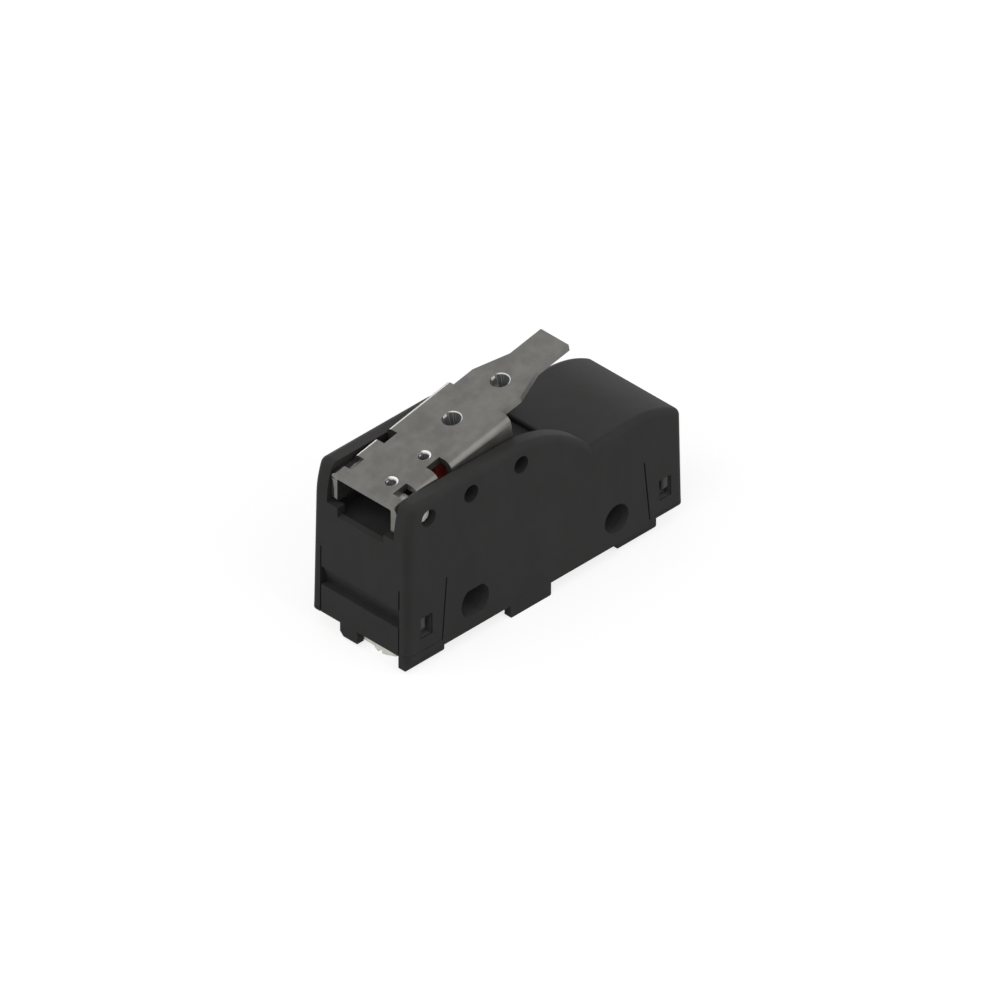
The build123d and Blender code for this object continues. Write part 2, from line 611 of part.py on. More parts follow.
def make_snap_spring(side):
    """One C-shaped leaf of the snap action, from beside the stem to the bridge's underside."""
    inner = STEM_DIAMETER / 2 + SNAP_STEM_GAP
    path = ThreePointArc(
        (side * inner, 0, BRIDGE_BOTTOM - SNAP_TOE_DEPTH),
        (side * (inner + SNAP_BELLY), 0, BRIDGE_BOTTOM - SNAP_DEPTH),
        (side * (inner + SNAP_REACH), 0, BRIDGE_BOTTOM),
    )
    section = Plane(origin=path @ 0, x_dir=(0, 1, 0), z_dir=path % 0) * Rectangle(SNAP_WIDTH, SNAP_THICKNESS)
    leaf = sweep(section, path=path)
    return leaf - block(-BOSS_INNER, BOSS_INNER, -SNAP_WIDTH, SNAP_WIDTH, BRIDGE_BOTTOM, BRIDGE_TOP)


def lever_underside(x):
    """Height of the lever's underside above the floor at this X."""
    slope = math.radians(LEVER_SLOPE)
    top = RIM + LEVER_TOP_AT_FRONT + (x - from_end(LEVER_FRONT_FROM_END)) * math.tan(slope)
    return top - LEVER_SHEET / math.cos(slope)


def make_plunger():
    """Red plunger: crowned post under the lever, offset arm, and stem through the bridge."""
    slope = math.radians(LEVER_SLOPE)
    touch = lever_underside(PLUNGER_X) - PLUNGER_TOP_CLEARANCE
    outline = RectangleRounded(PLUNGER_LENGTH, PLUNGER_WIDTH, PLUNGER_CORNER)
    post = extrude(Pos(PLUNGER_X, 0, PLUNGER_ARM_BOTTOM) * outline, touch + OVERCUT - PLUNGER_ARM_BOTTOM)
    crown_x = PLUNGER_X + PLUNGER_CROWN_RADIUS * math.sin(slope)
    crown_z = touch - PLUNGER_CROWN_RADIUS * math.cos(slope)
    crown = across(2 * PLUNGER_CROWN_RADIUS, crown_x, crown_z)
    sides = (crown_x - PLUNGER_CROWN_RADIUS, crown_x + PLUNGER_CROWN_RADIUS)
    crown += block(*sides, -PLUNGER_WIDTH, PLUNGER_WIDTH, PLUNGER_ARM_BOTTOM - OVERCUT, crown_z)
    post &= crown
    start = PLUNGER_X - PLUNGER_LENGTH / 2 - ARM_OVERHANG
    length = STEM_DIAMETER / 2 + ARM_TAIL - start
    arm_outline = RectangleRounded(length, ARM_WIDTH, ARM_CORNER)
    arm = extrude(Pos(start + length / 2, 0, PLUNGER_ARM_BOTTOM) * arm_outline, ARM_THICKNESS)
    shoulder = SEAT_BOTTOM + SEAT_THICKNESS
    stem_length = PLUNGER_ARM_BOTTOM - shoulder
    stem = Pos(0, 0, shoulder + stem_length / 2) * Cylinder(STEM_DIAMETER / 2, stem_length)
    stem += Pos(0, 0, SEAT_BOTTOM + SEAT_THICKNESS / 2) * Cylinder(STEM_TIP_DIAMETER / 2, SEAT_THICKNESS)
    return post + arm + stem


def make_spring_seat():
    """Washer on the stem's tip that the return spring pushes on."""
    ring = Cylinder(SEAT_DIAMETER / 2, SEAT_THICKNESS)
    ring -= Cylinder(STEM_TIP_DIAMETER / 2 + FIT, SEAT_THICKNESS)
    return Pos(0, 0, SEAT_BOTTOM + SEAT_THICKNESS / 2) * ring


def make_return_spring():
    """Coil spring from the base's spigot up to the spring seat."""
    radius = (SPRING_DIAMETER - SPRING_WIRE) / 2
    low = PIT_FLOOR + SPRING_WIRE / 2 + SPRING_END_GAP
    height = SEAT_BOTTOM - SPRING_WIRE / 2 - SPRING_END_GAP - low
    path = Pos(0, 0, low) * Helix(height / SPRING_TURNS, height, radius)
    section = Plane(origin=path @ 0, z_dir=path % 0) * Circle(SPRING_WIRE / 2)
    return sweep(section, path=path, is_frenet=True)


def make_pin():
    """Pivot pin, its ends set in from the cover's side faces."""
    side = BODY_WIDTH / 2 - PIN_HOLE_HEIGHT * math.tan(math.radians(SIDE_DRAFT))
    pin = Cylinder(PIN_HOLE_DIAMETER / 2 - PIN_CLEARANCE, 2 * (side - PIN_RECESS))
    pin = chamfer(pin.edges().filter_by(GeomType.CIRCLE), PIN_CHAMFER)
    return Pos(PIVOT_X, 0, PIVOT_Z) * Rot(90, 0, 0) * pin


def lever_channel():
    """U-shaped front length of the lever, its top face at Z = 0 and its front edge at X = 0."""
    outer = block(0, FLANGE_LENGTH, -LEVER_WIDTH / 2, LEVER_WIDTH / 2, -FLANGE_HEIGHT, 0)
    bends = outer.edges().filter_by(Axis.X).sort_by(Axis.Z)[-2:]
    outer = fillet(bends, LEVER_BEND_RADIUS)
    inner_half = LEVER_WIDTH / 2 - LEVER_SHEET
    end = FLANGE_LENGTH + OVERCUT
    inner = block(-OVERCUT, end, -inner_half, inner_half, -2 * FLANGE_HEIGHT, -LEVER_SHEET)
    bends = inner.edges().filter_by(Axis.X).sort_by(Axis.Z)[-2:]
    inner = fillet(bends, LEVER_BEND_RADIUS - LEVER_SHEET)
    return outer - inner


def pivot_lugs():
    """Level lower ends of the flanges round the pivot, with their upright front edges."""
    front_x = from_end(LEVER_FRONT_FROM_END) + LEVER_BEND_RADIUS * math.sin(math.radians(LEVER_SLOPE))
    top = RIM + LEVER_TOP_AT_FRONT - LEVER_BEND_RADIUS
    outline = Pos(PIVOT_X, 0, PIVOT_Z) * Rot(90, 0, 0) * Circle(LUG_RADIUS)
    outline += side_face([
        (front_x, PIVOT_Z - LUG_RADIUS),
        (PIVOT_X, PIVOT_Z - LUG_RADIUS),
        (PIVOT_X, top),
        (front_x, top),
    ])
    corner = outline.vertices().sort_by_distance((front_x, 0, PIVOT_Z - LUG_RADIUS))[0]
    lugs = side_sheet(fillet(corner, LUG_CORNER), LEVER_WIDTH)
    between = LEVER_WIDTH / 2 - LEVER_SHEET
    reach = (front_x - OVERCUT, PIVOT_X + 2 * LUG_RADIUS)
    lugs -= block(*reach, -between, between, RIM, top)
    return lugs - block(*reach, -LEVER_WIDTH, LEVER_WIDTH, top, PIVOT_Z + 2 * LUG_RADIUS)


def make_lever():
    """Lever bent from one sheet: channel with side notches, blade, tongue and drawn hole collars."""
    lever = lever_channel()
    blade = [
        (FLANGE_LENGTH - LEVER_SHEET, BLADE_WIDTH / 2),
        (BLADE_SHOULDER, BLADE_WIDTH / 2),
        (TONGUE_START, TONGUE_WIDTH / 2),
        (LEVER_LENGTH, TONGUE_WIDTH / 2),
    ]
    outline = blade + [(x, -y) for x, y in reversed(blade)]
    lever += extrude(make_face(Polyline(*outline, close=True)), -LEVER_SHEET)
    edge = NOTCH_BRIDGE_WIDTH / 2
    for start, depth in zip(NOTCH_STARTS, NOTCH_DEPTHS):
        for side in (-1, 1):
            lever -= block(start, start + NOTCH_LENGTH, side * edge, side * LEVER_WIDTH, -depth, OVERCUT)
    holes = [(x, -SMALL_HOLE_OFFSET, SMALL_HOLE_DIAMETER, SMALL_COLLAR_DEPTH) for x in SMALL_HOLES]
    holes += [(x, 0, LARGE_HOLE_DIAMETER, LARGE_COLLAR_DEPTH) for x in LARGE_HOLES]
    for x, y, diameter, depth in holes:
        collar = Cylinder(diameter / 2 + COLLAR_WALL, depth)
        lever += Pos(x, y, -LEVER_SHEET - depth / 2) * collar
        lever -= Pos(x, y, 0) * Cylinder(diameter / 2, 2 * (LEVER_SHEET + depth) + OVERCUT)
    front = Pos(from_end(LEVER_FRONT_FROM_END), 0, RIM + LEVER_TOP_AT_FRONT)
    lever = front * Rot(0, -LEVER_SLOPE, 0) * lever + pivot_lugs()
    return lever - across(PIN_HOLE_DIAMETER, PIVOT_X, PIVOT_Z)


def main():
    """Builds every piece and writes one file for each."""
    os.makedirs("parts", exist_ok=True)
    pieces = {
        "upper_cover": make_cover(),
        "base": make_base(),
        "pivot_pin": make_pin(),
        "lever": make_lever(),
        "plunger": make_plunger(),
        "spring_seat": make_spring_seat(),
        "return_spring": make_return_spring(),
        "contact_bridge": make_bridge(),
        "snap_spring_front": make_snap_spring(-1),
        "snap_spring_rear": make_snap_spring(1),
    }
    rows = (
        ("open_front", NEAR_TERMINAL, -ROW_OFFSET, BASE_TOP, False),
        ("open_rear", FAR_TERMINAL, ROW_OFFSET, BASE_TOP, True),
        ("closed_front", FAR_TERMINAL, ROW_OFFSET, HIGH_STRIP_BOTTOM, False),
        ("closed_rear", NEAR_TERMINAL, -ROW_OFFSET, HIGH_STRIP_BOTTOM, True),
    )
    for name, place, row, strip_bottom, turned in rows:
        made = {
            "terminal_" + name: make_terminal(place, row, strip_bottom),
            "terminal_screw_" + name: make_screw(place),
            "clamp_plate_" + name: make_clamp_plate(place),
        }
        for node, solid in made.items():
            pieces[node] = half_turn(solid) if turned else solid
    for end, x in (("front", -CONTACT_FROM_CENTRE), ("rear", CONTACT_FROM_CENTRE)):
        pieces["fixed_contact_open_" + end] = make_contact(
            x, -ROW_OFFSET, LOW_CONTACT_TOP, BASE_TOP + STRIP, STRIP)
        pieces["fixed_contact_closed_" + end] = make_contact(
            x, ROW_OFFSET, HIGH_CONTACT_BOTTOM, HIGH_STRIP_BOTTOM, STRIP)
        pieces["moving_contact_open_" + end] = make_contact(
            x, -ROW_OFFSET, BRIDGE_BOTTOM - CONTACT_HEIGHT, BRIDGE_BOTTOM, BRIDGE_THICKNESS)
        pieces["moving_contact_closed_" + end] = make_contact(
            x, ROW_OFFSET, BRIDGE_TOP + CONTACT_HEIGHT, BRIDGE_TOP, BRIDGE_THICKNESS)
    for node, solid in pieces.items():
        export_step(solid, "parts/" + node + ".step")


main()
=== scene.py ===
import logging
import math
from dataclasses import dataclass, field
from enum import Enum, IntEnum
from typing import Dict, List, Optional, Sequence, Tuple, Union

import bpy
import numpy as np
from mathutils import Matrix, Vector


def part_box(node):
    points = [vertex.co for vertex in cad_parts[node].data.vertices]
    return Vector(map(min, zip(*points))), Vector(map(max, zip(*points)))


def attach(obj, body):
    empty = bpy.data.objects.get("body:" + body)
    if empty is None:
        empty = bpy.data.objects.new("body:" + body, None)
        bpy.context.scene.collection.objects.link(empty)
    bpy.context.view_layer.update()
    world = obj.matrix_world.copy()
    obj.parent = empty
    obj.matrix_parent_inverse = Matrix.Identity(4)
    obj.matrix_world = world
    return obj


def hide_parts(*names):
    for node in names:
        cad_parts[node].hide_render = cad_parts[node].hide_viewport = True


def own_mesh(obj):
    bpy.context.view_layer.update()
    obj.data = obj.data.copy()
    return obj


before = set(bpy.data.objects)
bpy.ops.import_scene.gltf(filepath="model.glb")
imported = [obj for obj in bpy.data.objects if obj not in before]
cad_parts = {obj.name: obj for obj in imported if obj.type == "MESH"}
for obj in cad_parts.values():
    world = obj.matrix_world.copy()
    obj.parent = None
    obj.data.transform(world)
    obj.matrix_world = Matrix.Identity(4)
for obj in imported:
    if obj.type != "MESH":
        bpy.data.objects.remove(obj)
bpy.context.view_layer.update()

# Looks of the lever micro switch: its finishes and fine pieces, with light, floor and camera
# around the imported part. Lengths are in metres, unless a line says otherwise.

LOG = logging.getLogger("micro_switch")
MM = 0.001
SHARP_EDGE = math.radians(40.0)
MIX_FACTOR, MIX_FIRST, MIX_SECOND, MIX_RESULT = 0, 6, 7, 2

Colour = Tuple[float, float, float]
Number = Union[int, float]

WHITE: Colour = (1.0, 1.0, 1.0)


class Axis(IntEnum):
    """An axis, by the number of a vector's part along it."""

    X = 0
    Y = 1
    Z = 2


# Shader maths

class Signal:
    """One output socket of a shader graph, with arithmetic that adds Math nodes."""

    def __init__(self, graph: "Graph", socket: bpy.types.NodeSocket) -> None:
        """Wraps a socket of the graph."""
        self.graph = graph
        self.socket = socket

    def _math(self, operation: str, *values: Union["Signal", Number]) -> "Signal":
        """Adds one Math node with this operation on the values."""
        return self.graph.node("ShaderNodeMath", {"operation": operation}, dict(enumerate(values)))

    def __add__(self, other: Union["Signal", Number]) -> "Signal":
        """Sum."""
        return self._math("ADD", self, other)

    __radd__ = __add__

    def __sub__(self, other: Union["Signal", Number]) -> "Signal":
        """Difference."""
        return self._math("SUBTRACT", self, other)

    def __rsub__(self, other: Union["Signal", Number]) -> "Signal":
        """Difference from a plain number."""
        return self._math("SUBTRACT", other, self)

    def __mul__(self, other: Union["Signal", Number]) -> "Signal":
        """Product."""
        return self._math("MULTIPLY", self, other)

    __rmul__ = __mul__

    def sine(self) -> "Signal":
        """Sine of the value in radians."""
        return self._math("SINE", self)

    def root(self) -> "Signal":
        """Square root."""
        return self._math("SQRT", self)

    def larger(self, other: Union["Signal", Number]) -> "Signal":
        """The larger of two values."""
        return self._math("MAXIMUM", self, other)

    def size(self) -> "Signal":
        """The value without its sign."""
        return self._math("ABSOLUTE", self)

    def sway(self, span: float) -> "Signal":
        """A value of 0 to 1 turned into a swing about zero, of this span in all."""
        return (self - 0.5) * span

    def ramp(self, low: float, high: float) -> "Signal":
        """Maps the value smoothly and clamps it.

        Args:
            low: the value that gives 0.
            high: the value that gives 1.

        Returns:
            The mapped value.
        """
        settings = {"interpolation_type": "SMOOTHSTEP", "clamp": True}
        inputs = {"Value": self, "From Min": low, "From Max": high}
        return self.graph.node("ShaderNodeMapRange", settings, inputs)

    def band(self, low: float, high: float, soft: float) -> "Signal":
        """1 between two values, fading to 0 over a soft margin inside them."""
        return self.ramp(low, low + soft) * (1.0 - self.ramp(high - soft, high))


@dataclass(frozen=True)
class Grain:
    """Fractal noise: its features per unit, its added octaves, and how much each one keeps."""

    scale: float
    detail: float = 3.0
    roughness: float = 0.5


class Graph:
    """The node tree of a material or of the world, with one method that adds any node."""

    def __init__(self, owner: Union[bpy.types.Material, bpy.types.World]) -> None:
        """Gives the owner an empty node tree.

        Args:
            owner: the material or the world.
        """
        self.owner = owner
        owner.use_nodes = True
        self.tree = owner.node_tree
        self.tree.nodes.clear()

    def node(self, kind: str, settings: Optional[dict] = None, inputs: Optional[dict] = None,
             output: Union[int, str] = 0) -> Signal:
        """Adds a node, sets its settings first, then its sockets.

        Args:
            kind: the node's type name.
            settings: attributes of the node.
            inputs: values or signals by socket name or number.
            output: the output socket to return.

        Returns:
            The wrapped output socket.
        """
        node = self.tree.nodes.new(kind)
        for key, value in (settings or {}).items():
            setattr(node, key, value)
        for key, value in (inputs or {}).items():
            socket = node.inputs[key]
            if isinstance(value, Signal):
                self.tree.links.new(value.socket, socket)
            elif socket.type == "RGBA":
                socket.default_value = (*value, 1.0)
            else:
                socket.default_value = value
        return Signal(self, node.outputs[output])

    def ray(self, kind: str) -> Signal:
        """1 for rays of this kind, such as Is Camera Ray, and 0 for others."""
        return self.node("ShaderNodeLightPath", output=kind)

    def backdrop_rays(self) -> Signal:
        """1 for the rays that see the white background: camera, glossy and transmission."""
        seen = self.ray("Is Camera Ray").larger(self.ray("Is Glossy Ray"))
        return seen.larger(self.ray("Is Transmission Ray"))

    def position(self) -> Signal:
        """The point in object coordinates."""
        return self.node("ShaderNodeTexCoord", output="Object")

    def mapped(self, centre: Sequence[float] = (0, 0, 0), scale: Sequence[float] = (1, 1, 1),
               turn: Sequence[float] = (0, 0, 0)) -> Signal:
        """Object coordinates measured from a centre, turned and scaled.

        Args:
            centre: the point that becomes the origin.
            scale: the scale along each turned axis.
            turn: the texture's rotation in radians.

        Returns:
            The mapped vector.
        """
        inputs = {"Vector": self.position(), "Location": tuple(centre), "Rotation": tuple(turn),
                  "Scale": tuple(1 / value for value in scale)}
        return self.node("ShaderNodeMapping", {"vector_type": "TEXTURE"}, inputs)

    def noise(self, vector: Signal, grain: Grain) -> Signal:
        """Fractal noise from 0 to 1, read at the vector."""
        inputs = {"Vector": vector, "Scale": grain.scale, "Detail": grain.detail,
                  "Roughness": grain.roughness}
        return self.node("ShaderNodeTexNoise", {}, inputs)

    def part(self, vector: Signal, axis: Axis) -> Signal:
        """A vector's part along an axis."""
        return self.node("ShaderNodeSeparateXYZ", {}, {"Vector": vector}, axis)

    def mix(self, factor: Signal, first: Union[Colour, Signal],
            second: Union[Colour, Signal]) -> Signal:
        """Colour between two colours."""
        inputs = {MIX_FACTOR: factor, MIX_FIRST: first, MIX_SECOND: second}
        return self.node("ShaderNodeMix", {"data_type": "RGBA"}, inputs, MIX_RESULT)

    def bump(self, height: Signal, distance: float, strength: float,
             normal: Optional[Signal] = None) -> Signal:
        """Bumps a surface.

        Args:
            height: a height of 0 to 1.
            distance: the length that a height of 1 stands for.
            strength: how much of the bump shows.
            normal: the normal that is bumped, where it isn't the surface's own.

        Returns:
            The bumped normal.
        """
        inputs: dict = {"Height": height, "Distance": distance, "Strength": strength}
        if normal is not None:
            inputs["Normal"] = normal
        return self.node("ShaderNodeBump", {}, inputs)

    def principled(self, inputs: dict) -> Signal:
        """Principled shader with these inputs."""
        return self.node("ShaderNodeBsdfPrincipled", {}, inputs)

    def mixed_shader(self, factor: Signal, first: Signal, second: Signal) -> Signal:
        """Shader between two shaders."""
        return self.node("ShaderNodeMixShader", {}, {0: factor, 1: first, 2: second})

    def finish(self, shader: Signal) -> Union[bpy.types.Material, bpy.types.World]:
        """Connects the shader to the output.

        Args:
            shader: what the surface or the surroundings look like.

        Returns:
            The material or the world that owns the tree.
        """
        of_world = isinstance(self.owner, bpy.types.World)
        kind = "ShaderNodeOutputWorld" if of_world else "ShaderNodeOutputMaterial"
        output = self.tree.nodes.new(kind)
        self.tree.links.new(shader.socket, output.inputs["Surface"])
        return self.owner


def material_graph(name: str) -> Graph:
    """The empty graph of a new material of this name."""
    return Graph(bpy.data.materials.new(name))


# Finishes

@dataclass(frozen=True)
class Bore:
    """Middle, radius and half height of a mounting hole, seen from the side."""

    x: float
    z: float
    radius: float
    half_height: float


@dataclass(frozen=True)
class MouldedThermoset:
    """Black moulded plastic: satin, with a spark-eroded grain and flow marks, and painted light
    that lightens the shade in the mounting bores and latch windows.
    """

    name: str
    roughness: float = 0.62
    specular: float = 0.08
    dark: Colour = (0.0345, 0.0345, 0.034)
    light: Colour = (0.0405, 0.0405, 0.04)
    contrast: Tuple[float, float] = (0.34, 0.68)
    cloud: Grain = Grain(160.0, 4.0, 0.55)
    cloud_share: float = 0.7
    cloud_dulling: float = 0.14
    flow: Grain = Grain(420.0)
    flow_length: float = 0.22
    flow_share: float = 0.3
    flow_depth: float = 0.024 * MM
    flow_strength: float = 0.1
    fine: Grain = Grain(5200.0, 2.0, 0.6)
    fine_dulling: float = 0.1
    fine_depth: float = 0.012 * MM
    fine_strength: float = 0.3
    # painted light: a lighter grey painted on the shaded bore walls
    bore_painted_light_colour: Colour = (0.062, 0.062, 0.064)
    bore_painted_light_margin: float = 0.03 * MM
    bores: Tuple[Bore, ...] = (Bore(12.7 * MM, 5.82 * MM, 2.15 * MM, 2.15 * MM),
                               Bore(-12.7 * MM, 5.82 * MM, 2.475 * MM, 2.1 * MM))
    # painted light: a lighter grey painted inside the shaded latch windows
    window_painted_light_colour: Colour = (0.09, 0.09, 0.093)
    window_margin: float = 0.05 * MM
    window_x: Tuple[float, float] = (20.3 * MM, 22.6 * MM)
    window_y: Tuple[float, float] = (6.0 * MM, 8.48 * MM)
    window_z: Tuple[float, float] = (4.7 * MM, 8.0 * MM)

    def bore_painted_light_mask(self, graph: Graph, point: Signal) -> Signal:
        """Mask of the bore walls, where painted light lightens the shade inside the mounting
        holes.

        Args:
            graph: the graph that takes the nodes.
            point: the point in object coordinates.

        Returns:
            1 within a mounting hole's radius and half height of its axis, and 0 outside it.
        """
        total: Union[Signal, float] = 0.0
        for bore in self.bores:
            side = graph.part(point, Axis.X) - bore.x
            rise = graph.part(point, Axis.Z) - bore.z
            depth = bore.radius - (side * side + rise * rise).root()
            room = bore.half_height - rise.size()
            inside = depth.ramp(-self.bore_painted_light_margin, 0.0) * room.ramp(-self.bore_painted_light_margin, 0.0)
            total = total + inside
        return total

    def windows(self, graph: Graph, point: Signal) -> Signal:
        """Mask of the latch windows' insides, where painted light lightens their shade.

        Args:
            graph: the graph that takes the nodes.
            point: the point in object coordinates.

        Returns:
            1 in the four windows behind the cover's outer face, and 0 elsewhere.
        """
        mask = graph.part(point, Axis.X).size().band(*self.window_x, self.window_margin)
        mask = mask * graph.part(point, Axis.Y).size().band(*self.window_y, self.window_margin)
        return mask * graph.part(point, Axis.Z).band(*self.window_z, self.window_margin)

    def build(self) -> bpy.types.Material:
        """Makes the finish.

        Returns:
            The material.
        """
        graph = material_graph(self.name)
        point = graph.position()
        cloud = graph.noise(point, self.cloud)
        fine = graph.noise(point, self.fine)
        flow = graph.noise(graph.mapped(scale=(1.0, 1.0, self.flow_length)), self.flow)
        shade = (cloud * self.cloud_share + flow * self.flow_share).ramp(*self.contrast)
        colour = graph.mix(shade, self.dark, self.light)
        # painted light: the shaded bore walls get a lighter grey painted in
        colour = graph.mix(self.bore_painted_light_mask(graph, point), colour, self.bore_painted_light_colour)
        # painted light: the shaded latch windows get a lighter grey painted in
        colour = graph.mix(self.windows(graph, point), colour, self.window_painted_light_colour)
        dulling = cloud.sway(self.cloud_dulling) + fine.sway(self.fine_dulling)
        normal = graph.bump(fine, self.fine_depth, self.fine_strength)
        normal = graph.bump(flow, self.flow_depth, self.flow_strength, normal)
        return graph.finish(graph.principled({
            "Base Color": colour, "Roughness": self.roughness + dulling, "Normal": normal,
            "Specular IOR Level": self.specular,
        }))


@dataclass(frozen=True)
class RolledSheet:
    """Rolled metal sheet: faint rolling lines, a cloudy mottle, and a polished bend.

    The slope is the sheet's angle in radians. The bend starts at this Y, which lies past the
    piece where it has no polished bend.
    """

    name: str
    dark: Colour = (0.14, 0.1365, 0.128)
    light: Colour = (0.186, 0.1825, 0.171)
    roughness: float = 0.3
    metallic: float = 0.75
    contrast: Tuple[float, float] = (0.34, 0.66)
    mottle: Grain = Grain(620.0, 3.0, 0.55)
    mottle_share: float = 0.45
    mottle_dulling: float = 0.1
    mottle_depth: float = 0.006 * MM
    mottle_strength: float = 0.06
    blotch: Grain = Grain(210.0, 2.0)
    blotch_share: float = 0.45
    lines: Grain = Grain(9000.0, 2.0)
    line_length: float = 0.06
    lines_share: float = 0.1
    lines_dulling: float = 0.06
    lines_depth: float = 0.002 * MM
    lines_strength: float = 0.15
    slope: float = 0.0
    bend_start: float = 1000.0 * MM
    bend_width: float = 1.15 * MM
    bend_margin: float = 0.05 * MM
    bend_polish: float = 0.17

    def build(self) -> bpy.types.Material:
        """Makes the finish.

        Returns:
            The material.
        """
        graph = material_graph(self.name)
        point = graph.position()
        along = graph.mapped(scale=(self.line_length, 1.0, 1.0), turn=(0.0, -self.slope, 0.0))
        mottle = graph.noise(point, self.mottle)
        blotch = graph.noise(point, self.blotch)
        lines = graph.noise(along, self.lines)
        shade = mottle * self.mottle_share + blotch * self.blotch_share + lines * self.lines_share
        colour = graph.mix(shade.ramp(*self.contrast), self.dark, self.light)
        bend_end = self.bend_start + self.bend_width
        bend = graph.part(point, Axis.Y).band(self.bend_start, bend_end, self.bend_margin)
        dulling = mottle.sway(self.mottle_dulling) + lines.sway(self.lines_dulling)
        roughness = self.roughness + dulling - bend * self.bend_polish
        flat = 1.0 - bend
        normal = graph.bump(lines * flat, self.lines_depth, self.lines_strength)
        normal = graph.bump(mottle * flat, self.mottle_depth, self.mottle_strength, normal)
        return graph.finish(graph.principled({
            "Base Color": colour, "Metallic": self.metallic, "Roughness": roughness,
            "Normal": normal,
        }))


@dataclass(frozen=True)
class TurnedMetal:
    """Turned or drawn bright metal with rings about an axis through its centre."""

    name: str
    base: Colour
    worn: Colour
    centre: Tuple[float, float, float] = (0.0, 0.0, 0.0)
    axis: Axis = Axis.Z
    roughness: float = 0.3
    metallic: float = 1.0
    contrast: Tuple[float, float] = (0.3, 0.7)
    cloud: Grain = Grain(900.0, 4.0, 0.6)
    cloud_share: float = 0.75
    cloud_dulling: float = 0.2
    ring_pitch: float = 0.09 * MM
    ring_waver: float = 2.0
    ring_share: float = 0.25
    ring_dulling: float = 0.06
    ring_depth: float = 0.004 * MM
    ring_strength: float = 0.3

    def build(self) -> bpy.types.Material:
        """Makes the finish; the rings are sine waves of the distance from the axis.

        Returns:
            The material.
        """
        graph = material_graph(self.name)
        local = graph.mapped(centre=self.centre)
        across = [graph.part(local, axis) for axis in Axis if axis is not self.axis]
        distance = (across[0] * across[0] + across[1] * across[1]).root()
        cloud = graph.noise(graph.position(), self.cloud)
        phase = distance * (2 * math.pi / self.ring_pitch) + cloud * self.ring_waver
        rings = phase.sine() * 0.5 + 0.5
        shade = (cloud * self.cloud_share + rings * self.ring_share).ramp(*self.contrast)
        dulling = cloud.sway(self.cloud_dulling) + rings.sway(self.ring_dulling)
        return graph.finish(graph.principled({
            "Base Color": graph.mix(shade, self.base, self.worn), "Metallic": self.metallic,
            "Roughness": self.roughness + dulling,
            "Normal": graph.bump(rings, self.ring_depth, self.ring_strength),
        }))


@dataclass(frozen=True)
class DrawnHole:
    """A pair of alike drawn holes in the lever, with the look of their linings.

    The collar is how far the wall goes below the sheet, the edge is the radius of its rounded
    entry, and the throat is its radius at the lower end. The painted highlight crescent reaches
    down to a depth, and the painted highlight spot starts and ends at two depths.
    """

    name: str
    along: Tuple[float, float]
    across: float
    radius: float
    collar: float
    edge: float
    throat: float
    crescent: float
    spot: Tuple[float, float]


